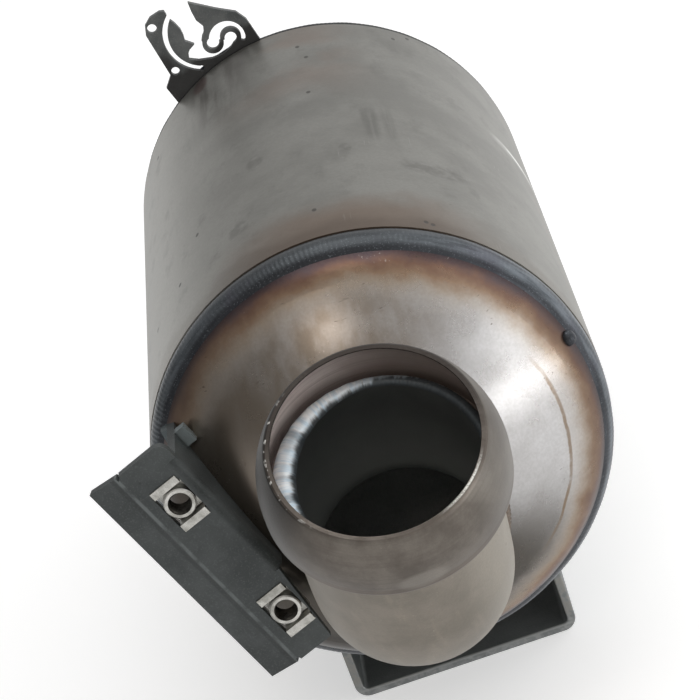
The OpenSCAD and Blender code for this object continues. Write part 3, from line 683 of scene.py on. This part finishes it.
def closed_grid(points, capped=False):
    """Corners and faces of a grid of points whose rows close, and whose columns close or end in caps."""
    rows, columns = points.shape[:2]
    i, j = np.meshgrid(np.arange(rows), np.arange(columns - capped), indexing="ij")
    next_i, next_j = (i + 1) % rows, (j + 1) % columns
    quads = np.stack([i * columns + j, next_i * columns + j, next_i * columns + next_j, i * columns + next_j], -1)
    faces = quads.reshape(-1, 4).tolist()
    if capped:
        first = np.arange(rows) * columns
        faces += [first.tolist(), (first + columns - 1).tolist()]
    return points.reshape(-1, 3), faces


def finish_piece(piece, replaced):
    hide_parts(replaced)
    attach(piece, "root")


def make_piece(name, shells, finishes, replaced, sharp=38):
    """Closed shells in millimetres, each with the finish of its columns, as one piece that stands for a node."""
    corners, faces, marks = [], [], []
    start = 0
    for points, column_finish, *capped in shells:
        shell_corners, shell_faces = closed_grid(points, bool(capped))
        corners.append(shell_corners * MM)
        faces += [[corner + start for corner in face] for face in shell_faces]
        marks.append(np.resize(np.broadcast_to(column_finish, points.shape[1]), len(shell_faces)))
        start += len(shell_corners)
    mesh = bpy.data.meshes.new(name)
    mesh.from_pydata(np.concatenate(corners).tolist(), [], faces)
    for finish in finishes:
        mesh.materials.append(finish)
    mesh.polygons.foreach_set("material_index", np.concatenate(marks).astype(np.int32))
    solid = bmesh.new()
    solid.from_mesh(mesh)
    bmesh.ops.recalc_face_normals(solid, faces=solid.faces)
    solid.to_mesh(mesh)
    solid.free()
    mesh.polygons.foreach_set("use_smooth", np.ones(len(mesh.polygons), bool))
    mesh.set_sharp_from_angle(angle=math.radians(sharp))
    piece = bpy.data.objects.new(name, mesh)
    scene.collection.objects.link(piece)
    finish_piece(piece, replaced)


def turns(count):
    return np.linspace(0, 2 * math.pi, count, endpoint=False)


def on_can(radius, behind, turn):
    """Point at a radius from the can's axis, a distance behind its front edge and a turn from +X upwards."""
    radius, behind, turn = np.broadcast_arrays(radius, behind, turn)
    return np.stack([radius * np.cos(turn), RING_Y + behind, AXIS_H + radius * np.sin(turn)], -1)


def on_collar(reach, height, turn):
    """Point at a distance from the collar's axis, a height above its foot and a turn from its heel to its side."""
    reach, height, turn = (np.asarray(v, float)[..., None] for v in np.broadcast_arrays(reach, height, turn))
    return COLLAR_FOOT + reach * (np.cos(turn) * HEEL + np.sin(turn) * SIDE) + height * MOUTH


def uneven(turn, seed, parts=6):
    """Gentle unevenness round a closed bead, from -1 to 1."""
    draw = np.random.default_rng(seed)
    waves = draw.integers(3, 40, parts)
    starts = draw.uniform(0, 2 * math.pi, parts)
    return sum(np.sin(n * turn + s) for n, s in zip(waves, starts)) / parts


def ripples(turn, across, count, bend, seed):
    """Depth from 0 to 1 of a bead's crescent ripples, across from -1 to 1."""
    phase = count * turn + bend * across ** 2 + 1.8 * uneven(turn, seed)
    return 0.5 + 0.5 * np.cos(phase)


def ring_bead(middle, bead_r, from_angle, to_angle, foot, count, seed, depth, mirror=1):
    """Rippled ring bead on the can: an arc of ripples over a plain foot."""
    turn = turns(count * 7)[:, None]
    angle = np.linspace(from_angle, to_angle, 15)[None, :]
    across = np.linspace(-1, 1, 15)[None, :]
    fade = 1 - across ** 4
    cut = fade * (depth * ripples(turn, across, count, bend=2.2, seed=seed) + 0.12 * (1 + uneven(turn, seed + 1)))
    arc_r = bead_r - cut
    arc = on_can(middle[0] + arc_r * np.cos(angle), middle[1] + mirror * arc_r * np.sin(angle), turn)
    base = np.array(foot)
    under = on_can(base[None, :, 0], base[None, :, 1], turn)
    return np.concatenate([arc, under], axis=1)


def dome_point(angle, depth=0):
    """Radius and distance behind the front edge of a point on the dome's knuckle."""
    return (KNUCKLE_X + (KNUCKLE_R - depth) * math.cos(angle), -(KNUCKLE_R - depth) * math.sin(angle))


def weld_drop():
    """Round drop where the ring weld was stopped, flattened against the dome."""
    rows, columns = 28, 16
    turn = turns(rows)[:, None]
    tilt = np.linspace(-1, 1, columns)[None, :] * (math.pi / 2 - 0.02)
    radius, behind = dome_point(STOP_FORWARD)
    middle = on_can(radius, behind, STOP_TURN)
    lump = 1 - 0.05 * (1 + np.sin(3 * turn + 1) * np.cos(2 * tilt))
    ball = STOP_R * lump[..., None] * np.stack(
        [np.cos(turn) * np.cos(tilt), np.sin(turn) * np.cos(tilt), np.sin(tilt) + 0 * turn], -1)
    out = on_can(math.cos(STOP_FORWARD), -math.sin(STOP_FORWARD), STOP_TURN) - on_can(0, 0, STOP_TURN)
    depth = ball @ out
    ball = ball - np.minimum(depth + 0.5, 0)[..., None] * out
    return middle + ball


def ring_arc(width):
    """Lap over the can and radius of a ring bead of this width."""
    lap = LAP_SHARE * width
    bead_rise = CAN_R - SKIRT_R
    return lap, (lap ** 2 + bead_rise ** 2) / (2 * bead_rise)


def front_ring_weld(weld):
    width = 8
    lap, bead_r = ring_arc(width)
    middle = (CAN_R - bead_r, lap - width)
    from_angle = math.asin(-middle[1] / bead_r)
    touch = math.radians(28.1)
    radius, behind = dome_point(touch)
    to_angle = math.atan2(behind - middle[1], radius - middle[0])
    foot = [dome_point(angle, FOOT_DEPTH) for angle in (touch, touch / 2, 0)]
    bead = ring_bead(middle, bead_r, from_angle, to_angle, foot, count=286, seed=5, depth=0.06)
    make_piece("front_ring_bead", [(bead, 0), (weld_drop(), 0, "capped")], [weld], "front_ring_weld",
               BEAD_SHARP)


def rear_ring_weld(weld):
    width = 5.6
    lap, bead_r = ring_arc(width)
    middle = (CAN_R - bead_r, CAN_LEN - lap + width)
    from_angle = math.asin((middle[1] - CAN_LEN) / bead_r)
    to_angle = -math.radians(52)
    foot_r = REAR_KNUCKLE_R - FOOT_DEPTH
    foot = [(REAR_KNUCKLE[0] + foot_r * math.cos(a), REAR_KNUCKLE[1] + foot_r * math.sin(a))
            for a in (math.radians(27), math.radians(13), 0)]
    bead = ring_bead(middle, bead_r, from_angle, to_angle, foot, count=290, seed=11, depth=0.05, mirror=-1)
    make_piece("rear_ring_bead", [(bead, 0)], [weld], "rear_ring_weld", BEAD_SHARP)


def outlet_root_weld(weld):
    rise_r = PIPE_R - NECK_R
    count = 132
    inside = NECK_R - 0.2
    turn = turns(count * 6)[:, None]
    angle = np.linspace(0, math.pi / 2, 9)[None, :]
    across = np.linspace(-1, 1, 9)[None, :]
    arc_r = rise_r - 0.2 * (1 - across ** 4) * ripples(turn, across, count, bend=2, seed=17)
    arc = on_can(NECK_R + arc_r * np.cos(angle), OUTLET_START - arc_r * np.sin(angle), turn)
    under = on_can(np.array([[inside, inside]]), np.array([[OUTLET_START - rise_r, OUTLET_START]]), turn)
    bead = np.concatenate([arc, under], axis=1)
    make_piece("outlet_root_bead", [(bead, 0)], [weld], "outlet_root_weld", BEAD_SHARP)


def elbow_root_weld(weld):
    """Bead in the corner between the inlet pipe and the dome."""
    bead_r = 2.6
    count = 132
    turn = turns(count * 6)[:, None]
    drop = AXIS_H - PIPE_Z
    x, z = PIPE_R * np.cos(turn), PIPE_R * np.sin(turn) - drop
    radius = np.hypot(x, z)
    dome_y = CROWN_Y - np.sqrt(CROWN_R ** 2 - radius ** 2)
    # Slope of the dome away from the pipe
    outward = (x * np.cos(turn) + z * np.sin(turn)) / np.sqrt(CROWN_R ** 2 - radius ** 2)
    low = np.arctan(outward)
    share = np.linspace(0, 1, 11)[None, :]
    across = 2 * share - 1
    angle = low + (-math.pi / 2 - low) * share
    arc_r = bead_r - 0.2 * (1 - across ** 4) * ripples(turn, across, count, bend=2, seed=23)

    def at(r, a):
        reach = PIPE_R + r * np.cos(a)
        y = RING_Y + dome_y + r * np.sin(a)
        return np.stack(np.broadcast_arrays(reach * np.cos(turn), y, PIPE_Z + reach * np.sin(turn)), -1)

    arc = at(arc_r, angle)
    heel = at(np.full_like(turn, 0.25), low + math.radians(225))
    bead = np.concatenate([arc, heel], axis=1)
    make_piece("elbow_root_bead", [(bead, 0)], [weld], "elbow_root_weld", BEAD_SHARP)


def elbow_path():
    """Points on the inlet pipe's axis, each with the directions along it and towards the bend's middle."""
    stations = [(BEND_FROM + OUT * (BEND_Y - y), OUT, UP) for y in np.linspace(PIPE_IN, BEND_Y, 10)]
    for bend in np.linspace(0, BEND_ANGLE, 44)[1:]:
        along = math.cos(bend) * OUT + math.sin(bend) * UP
        inward = math.cos(bend) * UP - math.sin(bend) * OUT
        stations.append((BEND_FROM + BEND_R * UP - BEND_R * inward, along, inward))
    end, along, inward = stations[-1]
    stations += [(end + along * s, along, inward) for s in np.linspace(0, BEND_TAIL + COLLAR_OVERLAP, 20)[1:]]
    return stations


def inlet_elbow(outside, inside):
    turn = turns(144)[:, None, None]
    stations = elbow_path()
    ease = 0.5

    def ring(station, r, shift=0):
        at, along, inward = station
        return at + along * shift + r * (np.cos(turn) * inward + np.sin(turn) * SIDE)

    first, last = stations[0], stations[-1]
    outer = [ring(first, PIPE_R - ease)] + [ring(first, PIPE_R, ease)] + [ring(s, PIPE_R) for s in stations[1:-1]]
    outer += [ring(last, PIPE_R, -ease), ring(last, PIPE_R - ease)]
    inner = [ring(last, PIPE_BORE_R)] + [ring(s, PIPE_BORE_R) for s in stations[-2:0:-1]] + [ring(first, PIPE_BORE_R)]
    points = np.concatenate(outer + inner, axis=1)
    columns = [0] * len(outer) + [1] * len(inner)
    make_piece("inlet_elbow_pipe", [(points, columns)], [outside, inside], "inlet_elbow")


def ball_collar(outside, inside, rim):
    inner_r = BALL_R - COLLAR_T
    shoulder_x = math.sqrt(BALL_R ** 2 - (BALL_RISE - SHOULDER_R) ** 2) - SHOULDER_R + 0.2
    profile, columns = [], []

    def add(points, finish):
        profile.extend(points)
        columns.extend([finish] * len(points))

    add([(PIPE_R, 0), (PIPE_R + 0.5, 0)], 0)
    add([(shoulder_x + SHOULDER_R * math.sin(a), SHOULDER_R - SHOULDER_R * math.cos(a))
         for a in np.linspace(0, math.radians(82), 12)], 0)
    ease = 0.35
    heights = np.linspace(5.5, COLLAR_LEN - ease, 26)
    add([(math.sqrt(BALL_R ** 2 - (h - BALL_RISE) ** 2), h) for h in heights], 0)
    columns[-1] = 2
    top_out = math.sqrt(BALL_R ** 2 - (COLLAR_LEN - BALL_RISE) ** 2)
    top_in = math.sqrt(inner_r ** 2 - (COLLAR_LEN - BALL_RISE) ** 2)
    add([(top_out - ease, COLLAR_LEN), (top_in + ease, COLLAR_LEN)], 2)
    heights = np.linspace(COLLAR_LEN - ease, COLLAR_T + 0.2, 26)
    add([(math.sqrt(inner_r ** 2 - (h - BALL_RISE) ** 2), h) for h in heights], 1)
    add([(inner_r - 1.4, COLLAR_T), (PIPE_R, COLLAR_T)], 1)
    turn = turns(180)[:, None]
    line = np.array(profile)
    points = on_collar(line[None, :, 0], line[None, :, 1], turn)
    make_piece("ball_collar_ring", [(points, columns)], [outside, inside, rim], "ball_collar", 30)


def collar_inner_weld(weld):
    """Bright bead over the pipe's end inside the collar, wide on one side, with its root beside the pipe."""
    count = 150
    turn = turns(count * 6)[:, None]
    bore_edge = WELD_SHIFT * np.sin(turn) + np.sqrt(WELD_BORE_R ** 2 - (WELD_SHIFT * np.cos(turn)) ** 2)
    inner_r = np.minimum(PIPE_BORE_R, bore_edge + 0.15 * uneven(turn, 31))
    half = (WELD_OUTER_R - inner_r) / 2
    across = np.linspace(-1, 1, 17)[None, :]
    cut = (1 - across ** 4) * (0.05 * ripples(turn, across, count, bend=0.8, seed=37) + 0.15 * (1 + uneven(turn, 41)))
    angle = math.pi * (1 - across) / 2
    reach = inner_r + half + (half - cut) * np.cos(angle)
    height = COLLAR_OVERLAP + (WELD_RISE * half - cut) * np.sin(angle)
    arc = on_collar(reach, height, turn)
    foot = [(WELD_OUTER_R, COLLAR_T), (PIPE_R, COLLAR_T), (PIPE_R, COLLAR_OVERLAP)]
    under = on_collar(*np.array(foot).T[:, None, :], turn)
    make_piece("collar_inner_bead", [(np.concatenate([arc, under], axis=1), 0)], [weld], "collar_inner_weld",
               BEAD_SHARP)


def on_side(along, outward, back):
    """Point on the side bracket: along it, outward from the can's axis and back from its face."""
    along, outward, back = (np.asarray(v, float)[..., None] for v in np.broadcast_arrays(along, outward, back))
    u = np.array([math.cos(SIDE_TURN), 0, -math.sin(SIDE_TURN)])
    v = np.array([-math.sin(SIDE_TURN), 0, -math.cos(SIDE_TURN)])
    return np.array([0, RING_Y - SIDE_FACE, AXIS_H]) + along * u + outward * v + back * np.array([0, 1, 0])


def cage_nut(which, zinc, thread):
    """Nut with a round barrel, a square body behind the bracket and a cut thread."""
    half_l, half_w = 5.83, 5.2
    body_front, body_back = 3.12, 7.32
    barrel_r, barrel_front, thread_r = 5.3, -0.5, 3.4
    thread_depth, thread_pitch = 0.55, 1.25
    place_along = NUT_PLACES[which]
    turn = turns(72)[:, None]

    def spin(reach, back):
        return on_side(place_along + reach * np.cos(turn), NUT_OUT + reach * np.sin(turn), back + 0 * turn)

    depths = np.linspace(barrel_front + 0.5, body_back - 0.4, 72)[None, :]
    wave = np.abs(2 * np.mod(depths / thread_pitch + turn / (2 * math.pi), 1) - 1)
    bore = thread_r + thread_depth * wave
    barrel = np.concatenate([
        spin(thread_r + 0.5, barrel_front), spin(barrel_r - 0.4, barrel_front), spin(barrel_r, barrel_front + 0.4),
        spin(barrel_r, body_front + 0.5), spin(barrel_r - 0.6, body_back - 0.2), spin(thread_r + 0.6, body_back - 0.05),
        spin(bore, depths)[:, ::-1]], axis=1)
    columns = [0] * 5 + [1] * (barrel.shape[1] - 5)
    # Square body: the outline runs from its middle to the corners
    reach = 1 / np.maximum(np.abs(np.cos(turn)) / half_l, np.abs(np.sin(turn)) / half_w)
    hole = barrel_r - 0.3
    body = np.concatenate([spin(hole, body_front), spin(reach - 0.3, body_front), spin(reach, body_front + 0.3),
                           spin(reach, body_back - 0.3), spin(reach - 0.3, body_back), spin(hole, body_back)], axis=1)
    name = which + "_cage_nut"
    make_piece(name + "_threaded", [(barrel, columns), (body, 0)], [zinc, thread], name, 30)


def worn_copy(node, face, edge, width, cut=None):
    """Copy of a sheet piece with narrow rubbed edges, and with rubbed faces along the cut direction."""
    merge_gap = 0.000004
    flat, smooth, bevelled = math.radians(0.6), math.radians(24), math.radians(38)
    mesh = nodes[node].data.copy()
    if "custom_normal" in mesh.attributes:
        mesh.attributes.remove(mesh.attributes["custom_normal"])
    solid = bmesh.new()
    solid.from_mesh(mesh)
    bmesh.ops.remove_doubles(solid, verts=solid.verts, dist=merge_gap)
    bmesh.ops.dissolve_limit(solid, angle_limit=flat, verts=solid.verts, edges=solid.edges)
    solid.to_mesh(mesh)
    solid.free()
    mesh.materials.clear()
    mesh.materials.append(face)
    mesh.materials.append(edge)
    for polygon in mesh.polygons:
        polygon.material_index = int(cut is not None and abs(polygon.normal.dot(cut)) > 0.95)
    mesh.polygons.foreach_set("use_smooth", np.ones(len(mesh.polygons), bool))
    mesh.set_sharp_from_angle(angle=smooth)
    piece = bpy.data.objects.new(node + "_sheet", mesh)
    scene.collection.objects.link(piece)
    bevel = piece.modifiers.new("rubbed_edges", "BEVEL")
    bevel.width = width
    bevel.segments = 2
    bevel.limit_method = "ANGLE"
    bevel.angle_limit = bevelled
    bevel.material = 1
    finish_piece(piece, node)


def dress(names, finish):
    """Gives CAD nodes a finish."""
    for name in names:
        nodes[name].data.materials.clear()
        nodes[name].data.materials.append(finish)


# Studio

def make_camera():
    data = bpy.data.cameras.new("photo_camera")
    data.lens = CAMERA_LENS
    data.sensor_width = 36
    data.clip_start = 0.01
    data.clip_end = 50
    camera = bpy.data.objects.new("photo_camera", data)
    turn = Matrix((CAMERA_RIGHT, CAMERA_UP, CAMERA_BACK)).transposed()
    camera.matrix_world = Matrix.Translation(CAMERA_AT) @ turn.to_4x4()
    scene.collection.objects.link(camera)
    scene.camera = camera


def area_light(name, at, aim, size, power, colour=(1, 1, 1)):
    data = bpy.data.lights.new(name, "AREA")
    data.shape = "DISK"
    data.size = size
    data.energy = power
    data.color = colour
    lamp = bpy.data.objects.new(name, data)
    lamp.location = at
    lamp.rotation_euler = (Vector(aim) - Vector(at)).to_track_quat("-Z", "Y").to_euler()
    scene.collection.objects.link(lamp)


def studio():
    """Soft light, brighter from the right, over a white floor that keeps the shadow."""
    scene.view_settings.view_transform = "Standard"
    area_light("key", (1.2, -0.9, 0.24), (0, 0, 0.06), 0.44, 0.5)
    area_light("bounce", (0.7, -0.58, 0.1), (0.7, -0.58, 0), 0.56, 5.2)
    area_light("front", (-0.15, -1.25, 1.05), (0, 0, 0.1), 0.35, 1.1, (1, 0.87, 0.74))
    area_light("top", (0.2, 0.2, 1.6), (0, 0, 0.1), 1.2, 4.5)
    world = bpy.data.worlds.new("studio")
    world.use_nodes = True
    tree = Tree(world.node_tree)
    split = tree.place("SeparateXYZ", {0: tree.place("TexCoord").outputs["Generated"]})
    levels = [(0, 0.26), (0.5, 0.6), (0.72, 0.8), (0.9, 1.25), (1, 1.4)]
    level = tree.ramp(tree.linear(split.outputs[0], 0.5, 0.5), [(at, (v, v, v, 1)) for at, v in levels])
    tree.links.new(level, tree.nodes["Background"].inputs["Color"])
    tree.nodes["Background"].inputs["Strength"].default_value = 1
    scene.world = world

    mesh = bpy.data.meshes.new("floor")
    half = 30
    mesh.from_pydata([(-half, -half, 0), (half, -half, 0), (half, half, 0), (-half, half, 0)], [], [(0, 1, 2, 3)])
    floor = bpy.data.objects.new("floor", mesh)
    scene.collection.objects.link(floor)
    f = Finish("floor_white", 0)
    f.shader.inputs["Base Color"].default_value = (0.8, 0.8, 0.8, 1)
    f.shader.inputs["Roughness"].default_value = 0.9
    f.shader.inputs["Specular IOR Level"].default_value = 0.1
    path = f.place("LightPath").outputs
    seen = f.calc("MAXIMUM", path["Is Camera Ray"], path["Is Glossy Ray"])
    seen = f.calc("MAXIMUM", seen, path["Is Transmission Ray"])
    glow = f.place("Emission", {"Color": (1, 1, 1, 1), "Strength": f.times(seen, 0.45)})
    both = f.place("AddShader", {0: f.shader.outputs[0], 1: glow.outputs[0]})
    f.links.new(both.outputs[0], f.nodes["Material Output"].inputs["Surface"])
    mesh.materials.append(f.material)


make_camera()
studio()

CAN_STEEL = can_steel()
DOME_STEEL = dome_steel()
ELBOW_STEEL = elbow_steel()
SOOT_AND_LIGHT = pipe_soot_and_light()
BLUE_WELD = weld_finish("blue_weld", (64, 68, 76), (96, 100, 108), (132, 138, 146))
BROWN_WELD = weld_finish("brown_weld", (96, 84, 74), (128, 118, 108), (156, 150, 142))
DARK_WELD = weld_finish("dark_weld", (44, 44, 45), (58, 58, 59), (82, 83, 84))
ZINC = dull_zinc()
DARK_SLATE = scaled_sheet("dark_sheet", (96, 101, 101), (114, 118, 118), (132, 136, 135)).material
SLATE_EDGE = cut_edge("slate_edge", (82, 87, 88), (140, 145, 146))
ZINC_EDGE = cut_edge("zinc_edge", (150, 148, 136), (214, 212, 204))

front_ring_weld(ring_weld())
rear_ring_weld(DARK_WELD)
outlet_root_weld(BLUE_WELD)
elbow_root_weld(BROWN_WELD)
inlet_elbow(ELBOW_STEEL, SOOT_AND_LIGHT)
ball_collar(collar_steel(), collar_inside(), rim_edge())
collar_inner_weld(silver_weld())
for which in NUT_PLACES:
    # Dark thread finish: painted shade in the nut bores
    cage_nut(which, ZINC, cut_edge(which + "_thread", (44, 42, 39), (86, 84, 78)))
    worn_copy(which + "_nut_cage", ZINC, ZINC_EDGE, 0.00012)
worn_copy("side_bracket", side_sheet(), SLATE_EDGE, 0.0004)
worn_copy("lower_bracket", DARK_SLATE, lower_edge(), 0.0005, Vector(OUT))
worn_copy("holder_bracket", holder_sheet(), SLATE_EDGE, 0.0003)
dress(["can_shell", "rear_cone", "outlet_pipe"], CAN_STEEL)
dress(["front_cone"], DOME_STEEL)
dress(["shell_seam_weld", "lower_bracket_welds", "holder_bracket_weld"], BLUE_WELD)
dress(["side_bracket_weld"], weld_finish("pale_weld", (64, 72, 74), (94, 102, 104), (136, 143, 145)))
dress(["core_segments", "edge_segments"], plugged_ceramic())
dress(["segment_cement"], joint_cement())
dress(["support_mat"], felt_mat())
dress(["front_mesh_ring", "rear_mesh_ring"], knitted_wire())
